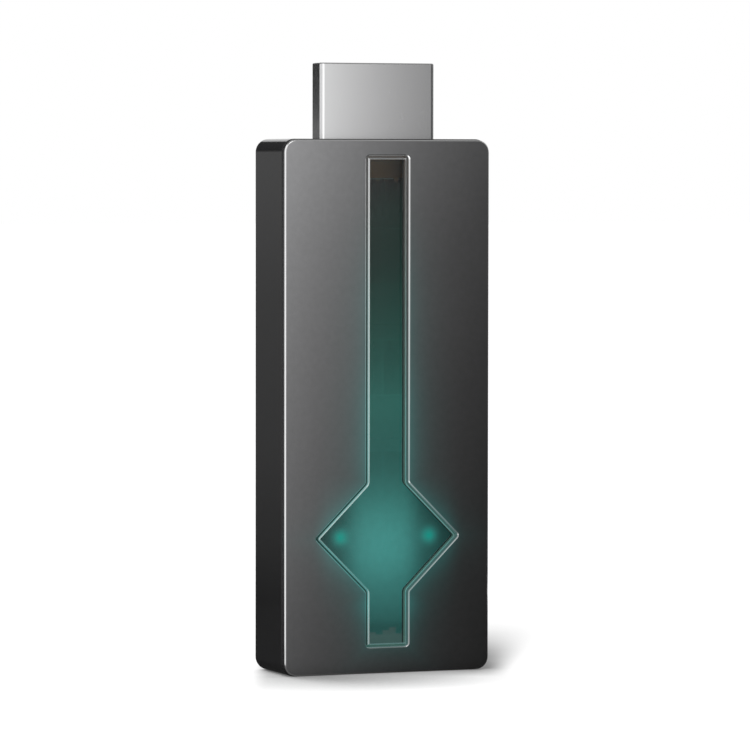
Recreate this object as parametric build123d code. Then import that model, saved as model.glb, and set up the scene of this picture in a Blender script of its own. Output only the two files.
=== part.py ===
from build123d import *
import os
from math import sqrt

# Wireless display dongle: a slim plastic body that stands on its lower end, with a video plug on top, a metal
# front plate with a bar-and-diamond window, a power port underneath and one push button in its right side.
# Millimetres. X runs to the right, Y from the front plate (negative) to the back (positive), Z upward.
# The origin is the middle of the body's lower end.

# Body
BODY_WIDTH = 25.0
BODY_HEIGHT = 60.5
BODY_DEPTH = 10.1
CORNER_RADIUS = 1.5
BACK_EDGE_RADIUS = 1.0
WALL = 1.0
BACK_WALL = 1.0
LEAST_CORNER_RADIUS = 0.3

# Front plate and the tape behind it
PLATE_THICKNESS = 0.8
PLATE_INSET = 0.1
EDGE_CHAMFER = 0.14
TAPE_THICKNESS = 0.1

# Window, measured at the plate's wall
BAR_WIDTH = 5.14
BAR_TOP_MARGIN = 1.9
BAR_FOOT_MARGIN = 3.05
DIAMOND_SIDE = 12.35
DIAMOND_HEIGHT = 15.47
WINDOW_END_RADIUS = 0.4
WINDOW_TIP_RADIUS = 0.35
WINDOW_NOTCH_RADIUS = 0.5

# Lens, frame and light guide
LENS_GAP = 0.21
LENS_SINK = 0.06
LENS_BEVEL = 0.19
LENS_TIP_RADIUS = 0.3
FLANGE_WIDTH = 0.42
FLANGE_THICKNESS = 0.5
FRAME_THICKNESS = 1.0
FRAME_CLEARANCE = 0.05
GUIDE_THICKNESS = 0.6
GUIDE_MARGIN = 0.6
GUIDE_EAR_REACH = 2.0
GUIDE_EAR_LENGTH = 3.0
GUIDE_PEG_RADIUS = 0.45
LAMP_SPACING = 11.2
LAMP_SIZE = (1.6, 0.8)
LAMP_HEIGHT = 0.45
LIGHT_POST_RADIUS = 0.8
LAMP_GAP = 0.1

# Snap hooks of the frame and the posts that press on the board
HOOK_LENGTH = 4.0
HOOK_REACH = 1.7
HOOK_THICKNESS = 0.8
HOOK_BITE = 0.35
POST_RADIUS = 0.6

# Video plug
PLUG_WIDTH = 13.9
PLUG_THICKNESS = 4.45
PLUG_NARROW_WIDTH = 10.7
PLUG_FLANK = 2.7
PLUG_CORNER_RADIUS = 0.5
PLUG_SHEET = 0.3
PLUG_SETBACK = 3.1
PLUG_EXPOSED = 8.6
PLUG_BURIED = 4.6
PLUG_SLOT_CLEARANCE = 0.12
PLUG_TIP_ROUND = 0.12
LATCH_WINDOW = (2.2, 1.7)
LATCH_SPACING = 6.0
LATCH_FROM_TIP = 4.6
LEG_LENGTH = 3.4
LEG_WIDTH = 1.0

# Plug core and contacts
CORE_SINK = 0.8
CORE_FIT = 0.02
TONGUE_SLOT = (11.4, 2.0)
TONGUE_SLOT_DEPTH = 7.4
CONTACT_PITCH = 1.0
FRONT_CONTACTS = 10
REAR_CONTACTS = 9
CONTACT_WIDTH = 0.35
CONTACT_THICKNESS = 0.2
CONTACT_BOW = 0.15
CONTACT_TAIL = 2.3
CONTACT_FIT = 0.03

# Ground clip in front of the buried end of the plug
CLIP_WIDTH = 10.4
CLIP_SHEET = 0.2
CLIP_FINGER_X = 2.0
CLIP_FINGER_WIDTH = 0.5

# Circuit board
BOARD_THICKNESS = 1.0
BOARD_CLEARANCE = 0.6
BOARD_CORNER_RADIUS = 0.8
SOLDER_GAP = 0.2

# Screws
SCREW_RADIUS = 0.75
SCREW_LENGTH = 3.0
SCREW_HEAD_RADIUS = 1.4
SCREW_HEAD_HEIGHT = 0.6
SCREW_FIT = 0.05
BOSS_RADIUS = 1.7

# Power port
PORT_WIDTH = 7.5
PORT_THICKNESS = 2.45
PORT_NARROW_WIDTH = 5.5
PORT_FLANK = 1.2
PORT_CORNER_RADIUS = 0.35
PORT_SHEET = 0.25
PORT_SINK = 0.2
PORT_DEPTH = 4.8
PORT_CUT_CLEARANCE = 0.2
PORT_WINDOW = (1.3, 0.7)
PORT_WINDOW_SPACING = 3.6
PORT_TONGUE = (3.9, 0.6)
PORT_CONTACTS = 5
PORT_CONTACT_PITCH = 0.65
PORT_CONTACT_WIDTH = 0.35
PORT_CONTACT_THICKNESS = 0.12

# Button and switch in the right side
BUTTON_LENGTH = 5.0
BUTTON_WIDTH = 1.8
BUTTON_SHARE = 0.69
BUTTON_SINK = 0.1
BUTTON_CLEARANCE = 0.1
BUTTON_LIP = 0.45
BUTTON_LIP_THICKNESS = 0.5
BUTTON_TRAVEL = 0.3
SWITCH_SIZE = (2.5, 4.2)
SWITCH_HEIGHT = 2.0
SWITCH_INSET = 1.0
SWITCH_COVER_SHEET = 0.12
PLUNGER_SIZE = (0.9, 1.6)
PLUNGER_REACH = 0.8
PLUNGER_CLEARANCE = 0.05

# Components, each width (X) by length (Z) and height off the board
PROCESSOR_SIZE = (12.0, 12.0)
PROCESSOR_HEIGHT = 1.2
SPREADER_SIZE = (15.0, 30.0)
SPREADER_THICKNESS = 0.5
MEMORY_SIZE = (8.0, 11.0)
MEMORY_HEIGHT = 0.9
FLASH_SIZE = (11.5, 9.0)
FLASH_HEIGHT = 0.9
RADIO_SIZE = (9.0, 10.0)
RADIO_BOARD = 0.5
RADIO_CAN_HEIGHT = 1.2
RADIO_CAN_SHEET = 0.15
ANTENNA_SIZE = (4.6, 2.0)
ANTENNA_HEIGHT = 1.2
CRYSTAL_SIZE = (3.2, 2.5)
CRYSTAL_HEIGHT = 0.7
INDUCTOR_SIZE = (3.0, 3.0)
INDUCTOR_HEIGHT = 1.2
REGULATOR_SIZE = (3.0, 3.0)
REGULATOR_HEIGHT = 0.85
CAPACITOR_SIZE = (0.5, 1.0)
CAPACITOR_HEIGHT = 0.5
RESISTOR_SIZE = (0.5, 1.0)
RESISTOR_HEIGHT = 0.35

# Places on the board, as shares of its half width to the right and of its length from its lower end
PROCESSOR_SHARES = (0.0, 0.57)
FLASH_SHARES = (0.0, 0.25)
MEMORY_SHARES = (0.2, 0.8)
RADIO_SHARES = (0.15, 0.53)
ANTENNA_SHARES = (-0.7, 0.06)
CRYSTAL_SHARES = (-0.7, 0.66)
REGULATOR_SHARES = (-0.7, 0.54)
INDUCTOR_SHARES = ((-0.7, 0.36), (0.7, 0.36))
SCREW_SHARES = ((-0.81, 0.885), (0.81, 0.145))
POST_SHARES = ((-0.86, 0.1), (-0.86, 0.45), (0.86, 0.45), (0.86, 0.87))
FRONT_CAPACITOR_SHARES = [(x, 0.935) for x in (-0.33, 0.03, 0.12, 0.29, 0.44)]
FRONT_CAPACITOR_SHARES += [(x, 0.655) for x in (0.2, 0.3)] + [(x, 0.13) for x in (-0.52, 0.52)]
REAR_CAPACITOR_SHARES = [(x, z) for z in (0.4, 0.72) for x in (-0.2, 0.0, 0.2)]
RESISTOR_SHARES = [(x, 0.66) for x in (-0.08, 0.04)] + [(x, 0.405) for x in (-0.13, 0.08, 0.24)]
RESISTOR_SHARES += [(x, 0.12) for x in (-0.11, 0.11, 0.24)]

# Places up the inside of the body, as shares of the board's length; ears and pegs are given with their side
HOOK_SHARES = (0.2, 0.87)
LEDGE_SHARES = (0.3, 0.8)
EAR_SHARES = ((-1, 0.5), (1, 0.82))

# Depths of the stack, from the plate's face to the back
FACE = -BODY_DEPTH / 2
BACK = BODY_DEPTH / 2
BACK_INNER = BACK - BACK_WALL
PLATE_BACK = FACE + PLATE_THICKNESS
FRAME_FRONT = PLATE_BACK + TAPE_THICKNESS
FRAME_BACK = FRAME_FRONT + FRAME_THICKNESS
LENS_FACE = FACE + LENS_SINK
FLANGE_BACK = FRAME_FRONT + FLANGE_THICKNESS
POCKET_FLOOR = FLANGE_BACK + TAPE_THICKNESS
GUIDE_BACK = FRAME_BACK + GUIDE_THICKNESS
PLUG_FRONT = FACE + PLUG_SETBACK
PLUG_REAR = PLUG_FRONT + PLUG_THICKNESS
MID = (PLUG_FRONT + PLUG_REAR) / 2
BOARD_FRONT = MID - BOARD_THICKNESS / 2
BOARD_BACK = MID + BOARD_THICKNESS / 2

# Heights
WINDOW_FOOT = BAR_FOOT_MARGIN
WINDOW_TOP = BODY_HEIGHT - BAR_TOP_MARGIN
PLUG_TIP = BODY_HEIGHT + PLUG_EXPOSED
PLUG_ROOT = BODY_HEIGHT - PLUG_BURIED
CORE_TIP = PLUG_TIP - CORE_SINK
CORE_ROOT = PLUG_ROOT + PLUG_SHEET
BOARD_TOP = PLUG_ROOT - SOLDER_GAP
BOARD_FOOT = WALL + BOARD_CLEARANCE
PORT_MOUTH = PORT_SINK
PORT_ROOT = PORT_MOUTH + PORT_DEPTH
NOTCH_TOP = PORT_ROOT + 0.75 * SOLDER_GAP

# Widths
INNER_HALF = BODY_WIDTH / 2 - WALL
BOARD_HALF = INNER_HALF - BOARD_CLEARANCE
FRAME_HALF = INNER_HALF - FRAME_CLEARANCE


def board_height(share):
    """Height of a place that lies this share of the board's length above its lower end."""
    return BOARD_FOOT + share * (BOARD_TOP - BOARD_FOOT)


def board_place(shares):
    """The x and the height of a place given as shares of the board."""
    return shares[0] * BOARD_HALF, board_height(shares[1])


BUTTON_Z = board_height(BUTTON_SHARE)
BUTTON_Y = BOARD_FRONT - SWITCH_HEIGHT / 2
SWITCH_FACE = BOARD_HALF - SWITCH_INSET
PLUNGER_TIP = SWITCH_FACE + PLUNGER_REACH
LAMPS = (-LAMP_SPACING / 2, LAMP_SPACING / 2)


def slab(outline, front, back):
    """An outline drawn across width and height, made solid from one depth to another."""
    return extrude(Plane.XZ.offset(-back) * outline, back - front, dir=(0, -1, 0))


def column(outline, low, high):
    """An outline drawn across width and depth, made solid from one height to another."""
    return extrude(Pos(0, 0, low) * outline, high - low, dir=(0, 0, 1))


def block(x, y, z):
    """A box between two values on each axis."""
    size = [high - low for low, high in (x, y, z)]
    middle = [(high + low) / 2 for low, high in (x, y, z)]
    return Pos(*middle) * Box(*size)


def around(middle, width):
    """The two ends of a width that is centred on a place."""
    return middle - width / 2, middle + width / 2


def rod(x, z, radius, front, back):
    """A round post that runs through the depth."""
    return slab(Pos(x, z) * Circle(radius), front, back)


def body_outline(inset, radius):
    """The body's rounded outline, drawn in from the outside by an inset."""
    width, height = BODY_WIDTH - 2 * inset, BODY_HEIGHT - 2 * inset
    return Pos(0, BODY_HEIGHT / 2) * RectangleRounded(width, height, radius)


def window(grow, end_radius=0.0, tip_radius=0.0, notch_radius=0.0):
    """The bar-and-diamond outline, moved outward by grow from the plate's window wall."""
    half = BAR_WIDTH / 2 + grow
    reach = DIAMOND_SIDE / sqrt(2) + grow * sqrt(2)
    foot, top = WINDOW_FOOT - grow, WINDOW_TOP + grow
    waist = reach - half
    right = [(half, foot), (half, DIAMOND_HEIGHT - waist), (reach, DIAMOND_HEIGHT)]
    right += [(half, DIAMOND_HEIGHT + waist), (half, top)]
    left = [(-x, z) for x, z in reversed(right)]
    face = Sketch() + make_face(Polyline(*right, *left, close=True))

    def rounded(face, radius, wanted):
        corners = [v for v in face.vertices() if wanted(v)]
        return fillet(corners, radius) if radius else face

    small = 1e-4
    face = rounded(face, end_radius, lambda v: abs(v.Y - foot) < small or abs(v.Y - top) < small)
    face = rounded(face, tip_radius, lambda v: abs(abs(v.X) - reach) < small)
    notches = (DIAMOND_HEIGHT - waist, DIAMOND_HEIGHT + waist)
    return rounded(face, notch_radius, lambda v: min(abs(v.Y - z) for z in notches) < small)


def plate_window(grow):
    """The window with the plate's corner radii, which follow the offset."""
    return window(
        grow,
        end_radius=WINDOW_END_RADIUS + grow,
        tip_radius=WINDOW_TIP_RADIUS + grow,
        notch_radius=max(WINDOW_NOTCH_RADIUS - grow, EDGE_CHAMFER / 2),
    )


def lens_window():
    """The outline of the lens block, a gap inside the window's wall, with crisp bar ends."""
    return window(-LENS_GAP, tip_radius=LENS_TIP_RADIUS, notch_radius=WINDOW_NOTCH_RADIUS + LENS_GAP)


def bevelled_profile(width, narrow, flank, front, rear, radius, grow):
    """A connector's outline: wide and flat in front, straight flanks, bevels and a narrow rear."""
    half, slim = width / 2, narrow / 2
    right = [(half, front), (half, front + flank), (slim, rear)]
    left = [(-x, y) for x, y in reversed(right)]
    face = Sketch() + make_face(Polyline(*right, *left, close=True))
    face = fillet(face.vertices(), radius)
    return offset(face, grow) if grow else face


def plug_profile(grow=0.0):
    return bevelled_profile(
        PLUG_WIDTH, PLUG_NARROW_WIDTH, PLUG_FLANK, PLUG_FRONT, PLUG_REAR, PLUG_CORNER_RADIUS, grow
    )


def port_profile(grow=0.0):
    front, rear = around(MID, PORT_THICKNESS)
    return bevelled_profile(
        PORT_WIDTH, PORT_NARROW_WIDTH, PORT_FLANK, front, rear, PORT_CORNER_RADIUS, grow
    )


def strip(points, thickness):
    """The side view of a bent strip whose middle line follows points of (depth, height)."""
    line = Polyline(*points)
    return Sketch() + trace(line, thickness)


def bent(points, thickness, x, width):
    """A strip of sheet bent along points of (depth, height), centred on x."""
    side = Plane.YZ.offset(x - width / 2) * strip(points, thickness)
    return extrude(side, width, dir=(1, 0, 0))


def spread(count, pitch):
    """Places of a row of this many things, centred on zero."""
    return [(i - (count - 1) / 2) * pitch for i in range(count)]


def build_rear_housing():
    """The tub: back and side walls in one moulding, with bosses, ledges and openings."""
    tub = slab(body_outline(0, CORNER_RADIUS), PLATE_BACK, BACK)
    tub = fillet(tub.faces().sort_by(Axis.Y)[-1].edges(), BACK_EDGE_RADIUS)
    inner_radius = max(CORNER_RADIUS - WALL, LEAST_CORNER_RADIUS)
    tub -= slab(body_outline(WALL, inner_radius), PLATE_BACK - WALL, BACK_INNER)

    ledge_width = INNER_HALF - BOARD_HALF + POST_RADIUS
    for share in LEDGE_SHARES:
        for side in (-1, 1):
            x = sorted((side * INNER_HALF, side * (INNER_HALF - ledge_width)))
            tub += block(x, (BOARD_BACK, BACK_INNER), around(board_height(share), HOOK_LENGTH))
    for shares in SCREW_SHARES:
        x, z = board_place(shares)
        tub += rod(x, z, BOSS_RADIUS, BOARD_BACK, BACK_INNER)
        pilot_depth = BOARD_FRONT + SCREW_LENGTH + 2 * SCREW_FIT
        tub -= rod(x, z, SCREW_RADIUS + SCREW_FIT, BOARD_BACK, pilot_depth)

    tub -= column(plug_profile(PLUG_SLOT_CLEARANCE), BODY_HEIGHT - 1.5 * WALL, BODY_HEIGHT + WALL)
    tub -= column(port_profile(PORT_CUT_CLEARANCE), -WALL, 1.5 * WALL)
    tub -= button_outline(BUTTON_CLEARANCE, INNER_HALF - WALL / 2, BODY_WIDTH / 2 + WALL)
    for side in (-1, 1):
        for share in HOOK_SHARES:
            tub -= hook_tooth(side, share, FRAME_CLEARANCE)
    return tub


def hook_tooth(side, share, grow):
    """The wedge at the end of a snap hook, or with grow the recess that it springs into."""
    depth = FRAME_BACK + HOOK_REACH
    root = side * (FRAME_HALF - HOOK_BITE)
    tip = side * (FRAME_HALF + HOOK_BITE + grow)
    wedge = [(root, depth + grow), (tip, depth - 0.6 * HOOK_BITE + grow)]
    wedge += [(tip, depth - 2 * HOOK_BITE - grow), (root, depth - 2 * HOOK_BITE - grow)]
    face = Sketch() + make_face(Polyline(*wedge, close=True))
    low, high = around(board_height(share), HOOK_LENGTH + 2 * grow)
    return column(face, low, high)


def build_front_frame():
    """The moulding that carries the plate, with the lens pocket, snap hooks, posts and pegs."""
    inset = WALL + FRAME_CLEARANCE
    corner = max(CORNER_RADIUS - inset, LEAST_CORNER_RADIUS)
    frame = slab(body_outline(inset, corner), FRAME_FRONT, FRAME_BACK)
    pocket = window(FLANGE_WIDTH + FRAME_CLEARANCE, notch_radius=WINDOW_END_RADIUS)
    frame -= slab(pocket, FRAME_FRONT, POCKET_FLOOR)
    frame -= slab(lens_window(), POCKET_FLOOR, FRAME_BACK)

    for side in (-1, 1):
        for share in HOOK_SHARES:
            x = sorted((side * FRAME_HALF, side * (FRAME_HALF - HOOK_THICKNESS)))
            z = around(board_height(share), HOOK_LENGTH)
            frame += block(x, (FRAME_BACK, FRAME_BACK + HOOK_REACH), z)
            frame += hook_tooth(side, share, 0)
    for shares in POST_SHARES:
        x, z = board_place(shares)
        frame += rod(x, z, POST_RADIUS, FRAME_BACK, BOARD_FRONT)
    for x, z in peg_places():
        frame += rod(x, z, GUIDE_PEG_RADIUS, FRAME_BACK, GUIDE_BACK + GUIDE_PEG_RADIUS)
    return frame


def peg_places():
    """The pegs that locate the light guide, through its ears."""
    reach = BAR_WIDTH / 2 + GUIDE_MARGIN + GUIDE_EAR_REACH / 2
    return [(side * reach, board_height(share)) for side, share in EAR_SHARES]


def build_front_plate():
    """The metal plate, with one polished chamfer round its outline and one round the window."""
    outline = body_outline(PLATE_INSET, CORNER_RADIUS - PLATE_INSET)
    plate = slab(outline - plate_window(0), FACE, PLATE_BACK)
    return chamfer(plate.faces().sort_by(Axis.Y)[0].edges(), EDGE_CHAMFER)


def build_plate_adhesive():
    """Die-cut tape over the frame and the lens flange, just clear of the window."""
    inset = WALL + 2 * FRAME_CLEARANCE
    outline = body_outline(inset, max(CORNER_RADIUS - inset, LEAST_CORNER_RADIUS))
    return slab(outline - window(FRAME_CLEARANCE), PLATE_BACK, FRAME_FRONT)


def build_window_lens():
    """The clear lens: a bevelled block that fills the window, on a flange behind the plate."""
    lens = slab(lens_window(), LENS_FACE, FRAME_FRONT)
    lens = chamfer(lens.faces().sort_by(Axis.Y)[0].edges(), LENS_BEVEL)
    return lens + slab(window(FLANGE_WIDTH, notch_radius=WINDOW_NOTCH_RADIUS), FRAME_FRONT, FLANGE_BACK)


def build_lens_tape():
    """The ring of tape between the lens flange and the pocket's floor."""
    ring = window(FLANGE_WIDTH - FRAME_CLEARANCE) - lens_window()
    return slab(ring, FLANGE_BACK, POCKET_FLOOR)


def build_light_guide():
    """The diffusing sheet behind the lens, with ears on the pegs and a post over each lamp."""
    guide = slab(window(GUIDE_MARGIN), FRAME_BACK, GUIDE_BACK)
    for x, z in peg_places():
        ear_inner = (BAR_WIDTH / 2) * (1 if x > 0 else -1)
        ear_outer = x + GUIDE_EAR_REACH / 2 * (1 if x > 0 else -1)
        guide += block(sorted((ear_inner, ear_outer)), (FRAME_BACK, GUIDE_BACK), around(z, GUIDE_EAR_LENGTH))
        guide -= rod(x, z, GUIDE_PEG_RADIUS + FRAME_CLEARANCE, FRAME_BACK, GUIDE_BACK)
    for x in LAMPS:
        guide += rod(x, DIAMOND_HEIGHT, LIGHT_POST_RADIUS, GUIDE_BACK, BOARD_FRONT - LAMP_HEIGHT - LAMP_GAP)
    return guide


def build_lamp(x):
    """A light-emitting chip: a moulded base with a smaller raised window."""
    base = on_board(x, DIAMOND_HEIGHT, LAMP_SIZE, 0.6 * LAMP_HEIGHT)
    dome_size = [0.7 * side for side in LAMP_SIZE]
    front = BOARD_FRONT - LAMP_HEIGHT
    dome = block(around(x, dome_size[0]), (front, BOARD_FRONT), around(DIAMOND_HEIGHT, dome_size[1]))
    return base + dome


def on_board(x, z, size, height, side=-1):
    """A component body on the board's front (side -1) or back (side 1)."""
    seat = BOARD_FRONT if side < 0 else BOARD_BACK
    depth = sorted((seat, seat + side * height))
    return block(around(x, size[0]), depth, around(z, size[1]))


def build_video_plug_shell():
    """The stamped shell: a hollow profile with two latch windows and two legs for the board."""
    shell = column(plug_profile() - plug_profile(-PLUG_SHEET), PLUG_ROOT, PLUG_TIP)
    outer_tip = shell.faces().sort_by(Axis.Z)[-1].outer_wire().edges()
    shell = chamfer(outer_tip, PLUG_TIP_ROUND)
    for x in spread(2, LATCH_SPACING):
        z = around(PLUG_TIP - LATCH_FROM_TIP, LATCH_WINDOW[1])
        shell -= block(around(x, LATCH_WINDOW[0]), (PLUG_REAR - 2 * PLUG_SHEET, PLUG_REAR + PLUG_SHEET), z)
    for side in (-1, 1):
        x = sorted((side * PLUG_WIDTH / 2, side * (PLUG_WIDTH / 2 - PLUG_SHEET)))
        shell += block(x, around(MID, LEG_WIDTH), (PLUG_ROOT - LEG_LENGTH, PLUG_ROOT))
    return shell


def contact_path(side):
    """The middle line of a plug contact, from its solder tail to its rounded tip."""
    tail = MID + side * (BOARD_THICKNESS + CONTACT_THICKNESS) / 2
    wall = MID + side * (TONGUE_SLOT[1] / 2 + CONTACT_THICKNESS)
    bow = MID + side * (TONGUE_SLOT[1] / 2 - CONTACT_BOW)
    slot_floor = CORE_TIP - TONGUE_SLOT_DEPTH
    return [
        (tail, BOARD_TOP - CONTACT_TAIL),
        (tail, CORE_ROOT + PLUG_SHEET),
        (wall, slot_floor - PLUG_SHEET),
        (wall, CORE_TIP - 0.4 * TONGUE_SLOT_DEPTH),
        (bow, CORE_TIP - 0.22 * TONGUE_SLOT_DEPTH),
        (wall, CORE_TIP - 0.08 * TONGUE_SLOT_DEPTH),
    ]


def contact_row(side, count):
    path = contact_path(side)
    return [bent(path, CONTACT_THICKNESS, x, CONTACT_WIDTH) for x in spread(count, CONTACT_PITCH)]


def build_video_plug_insulator():
    """The plug's core: fills the shell, with the tongue slot and a channel for each contact."""
    core = column(plug_profile(-PLUG_SHEET - CORE_FIT), CORE_ROOT, CORE_TIP)
    slot_floor = CORE_TIP - TONGUE_SLOT_DEPTH
    slot_depth = around(MID, TONGUE_SLOT[1])
    core -= block(around(0, TONGUE_SLOT[0]), slot_depth, (slot_floor, CORE_TIP + PLUG_SHEET))
    channel_width = CONTACT_WIDTH + 2 * CONTACT_FIT
    channel_thickness = CONTACT_THICKNESS + 2 * CONTACT_FIT
    for side, count in ((-1, FRONT_CONTACTS), (1, REAR_CONTACTS)):
        path = contact_path(side)
        inner = MID + side * TONGUE_SLOT[1] / 2
        outer = MID + side * (TONGUE_SLOT[1] / 2 + 1.5 * CONTACT_THICKNESS + CONTACT_FIT)
        depth = sorted((inner - side * CONTACT_FIT, outer))
        for x in spread(count, CONTACT_PITCH):
            core -= bent(path, channel_thickness, x, channel_width)
            core -= block(around(x, channel_width), depth, (slot_floor - PLUG_SHEET, CORE_TIP + PLUG_SHEET))
    return core


def build_plug_ground_clip():
    """The folded clip on the shell's buried front, with one finger down to the board."""
    middle = PLUG_FRONT - CLIP_SHEET / 2
    top = BODY_HEIGHT - WALL - 2 * CLIP_SHEET
    low = PLUG_ROOT + CLIP_SHEET
    plate = block(around(0, CLIP_WIDTH), (PLUG_FRONT - CLIP_SHEET, PLUG_FRONT), (low, top))
    foot = BOARD_FRONT - CLIP_SHEET / 2
    toe = BOARD_TOP - CONTACT_TAIL
    path = [(middle, low + CLIP_SHEET), (middle, low - 3 * CLIP_SHEET)]
    path += [(foot, toe + 3 * CLIP_SHEET), (foot, toe)]
    return plate + bent(path, CLIP_SHEET, CLIP_FINGER_X, CLIP_FINGER_WIDTH)


def build_main_board():
    """The board, notched for the port, the button and the plug's legs, and drilled for screws."""
    middle = (BOARD_TOP + BOARD_FOOT) / 2
    outline = Pos(0, middle) * RectangleRounded(2 * BOARD_HALF, BOARD_TOP - BOARD_FOOT, BOARD_CORNER_RADIUS)
    board = slab(outline, BOARD_FRONT, BOARD_BACK)
    through = (BOARD_FRONT - BOARD_THICKNESS, BOARD_BACK + BOARD_THICKNESS)

    port_gap = PORT_WIDTH + 2 * PORT_CUT_CLEARANCE
    board -= block(around(0, port_gap), through, (BOARD_FOOT - WALL, NOTCH_TOP))
    lip_length = BUTTON_LENGTH + 2 * BUTTON_LIP + 4 * BUTTON_CLEARANCE
    notch_inner = SWITCH_FACE + BUTTON_CLEARANCE
    board -= block((notch_inner, BOARD_HALF + WALL), through, around(BUTTON_Z, lip_length))
    for side in (-1, 1):
        leg = side * (PLUG_WIDTH - PLUG_SHEET) / 2
        slot_low = PLUG_ROOT - LEG_LENGTH - PLUG_SLOT_CLEARANCE
        slot_width = PLUG_SHEET + 2 * PLUG_SLOT_CLEARANCE
        board -= block(around(leg, slot_width), through, (slot_low, BOARD_TOP + WALL))
    for shares in SCREW_SHARES:
        board -= rod(*board_place(shares), SCREW_RADIUS + 2 * SCREW_FIT, *through)
    return board


def build_board_screws():
    """Pan-head screws with a cross recess, from the front of the board into the bosses."""
    screws = []
    for shares in SCREW_SHARES:
        x, z = board_place(shares)
        head_front = BOARD_FRONT - SCREW_HEAD_HEIGHT
        head = rod(x, z, SCREW_HEAD_RADIUS, head_front, BOARD_FRONT)
        head = chamfer(head.faces().sort_by(Axis.Y)[0].edges(), 0.3 * SCREW_HEAD_HEIGHT)
        screw = head + rod(x, z, SCREW_RADIUS, BOARD_FRONT, BOARD_FRONT + SCREW_LENGTH)
        recess = (head_front, head_front + 0.5 * SCREW_HEAD_HEIGHT)
        arm, slit = SCREW_HEAD_RADIUS, 0.25 * SCREW_HEAD_RADIUS
        screw -= block(around(x, arm), recess, around(z, slit))
        screw -= block(around(x, slit), recess, around(z, arm))
        screws.append(screw)
    return screws


def build_power_port_shell():
    """The port's shell: a bevelled tube with a window at the back of its front and four wings."""
    shell = column(port_profile() - port_profile(-PORT_SHEET), PORT_MOUTH, PORT_ROOT)
    front = MID - PORT_THICKNESS / 2
    for x in spread(2, PORT_WINDOW_SPACING):
        depth = (front - PORT_SHEET, front + 2 * PORT_SHEET)
        z = (PORT_ROOT - PORT_WINDOW[1], PORT_ROOT + PORT_SHEET)
        shell -= block(around(x, PORT_WINDOW[0]), depth, z)
    flank_low = PORT_MOUTH + WALL + 4 * PORT_SHEET
    flank_high = NOTCH_TOP - 2 * PORT_SHEET
    wing_length = (flank_high - flank_low - PORT_SHEET) / 2
    for side in (-1, 1):
        inner = side * (PORT_WIDTH / 2 - PORT_SHEET)
        outer = side * (PORT_WIDTH / 2 + PORT_CUT_CLEARANCE + 4 * PORT_SHEET)
        for low in (flank_low, flank_high - wing_length):
            depth = (BOARD_FRONT - PORT_SHEET, BOARD_FRONT)
            shell += block(sorted((inner, outer)), depth, (low, low + wing_length))
    return shell


def port_contact_path():
    """The middle line of a port contact, from the tongue's tip back to its solder tail."""
    tongue_rear = MID + PORT_TONGUE[1] / 2 - PORT_CONTACT_THICKNESS / 2
    tail = BOARD_FRONT - PORT_CONTACT_THICKNESS / 2
    bend_low = PORT_ROOT - 3.5 * PORT_SHEET
    return [
        (tongue_rear, PORT_MOUTH + 0.3 * PORT_DEPTH),
        (tongue_rear, bend_low),
        (tail, PORT_ROOT - 1.2 * PORT_SHEET),
        (tail, NOTCH_TOP + 4 * PORT_SHEET),
    ]


def build_power_port_contacts():
    path = port_contact_path()
    places = spread(PORT_CONTACTS, PORT_CONTACT_PITCH)
    return [bent(path, PORT_CONTACT_THICKNESS, x, PORT_CONTACT_WIDTH) for x in places]


def build_power_port_tongue():
    """The port's core: a block at the back of the shell and the tongue that carries contacts."""
    block_low = PORT_ROOT - 5 * PORT_SHEET
    core = column(port_profile(-PORT_SHEET - CORE_FIT), block_low, PORT_ROOT)
    tongue_low = PORT_MOUTH + 0.2 * PORT_DEPTH
    core += block(around(0, PORT_TONGUE[0]), around(MID, PORT_TONGUE[1]), (tongue_low, block_low))
    fit = 2 * CORE_FIT
    for x in spread(PORT_CONTACTS, PORT_CONTACT_PITCH):
        core -= bent(port_contact_path(), PORT_CONTACT_THICKNESS + fit, x, PORT_CONTACT_WIDTH + fit)
    return core


def button_outline(grow, x_low, x_high):
    """The button's rounded outline in the side wall, solid from one x to another."""
    slot = Rotation(0, 0, 90) * SlotOverall(BUTTON_LENGTH + 2 * grow, BUTTON_WIDTH + 2 * grow)
    outline = Plane.YZ.offset(x_low) * (Pos(BUTTON_Y, BUTTON_Z) * slot)
    return extrude(outline, x_high - x_low, dir=(1, 0, 0))


def build_mode_button():
    """The button: a cap in the side wall, a lip that keeps it in and a stub on the plunger."""
    outer = BODY_WIDTH / 2 - BUTTON_SINK
    lip_outer = INNER_HALF - BUTTON_CLEARANCE
    lip_inner = lip_outer - BUTTON_LIP_THICKNESS
    cap = button_outline(0, lip_inner, outer)
    cap = chamfer(cap.faces().sort_by(Axis.X)[-1].edges(), BUTTON_CLEARANCE)
    cap += button_outline(BUTTON_LIP, lip_inner, lip_outer)
    stub_width = BUTTON_WIDTH / 2
    return cap + block((PLUNGER_TIP, lip_inner), around(BUTTON_Y, stub_width), around(BUTTON_Z, stub_width))


def build_switch_body():
    """The switch's base, with a well for the plunger."""
    size = (SWITCH_SIZE[0], SWITCH_SIZE[1])
    base = on_board(SWITCH_FACE - size[0] / 2, BUTTON_Z, size, SWITCH_HEIGHT)
    well = [side + 2 * PLUNGER_CLEARANCE for side in PLUNGER_SIZE]
    well_floor = SWITCH_FACE - 2 * BUTTON_TRAVEL - PLUNGER_REACH / 2
    return base - block((well_floor, PLUNGER_TIP), around(BUTTON_Y, well[0]), around(BUTTON_Z, well[1]))


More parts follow.
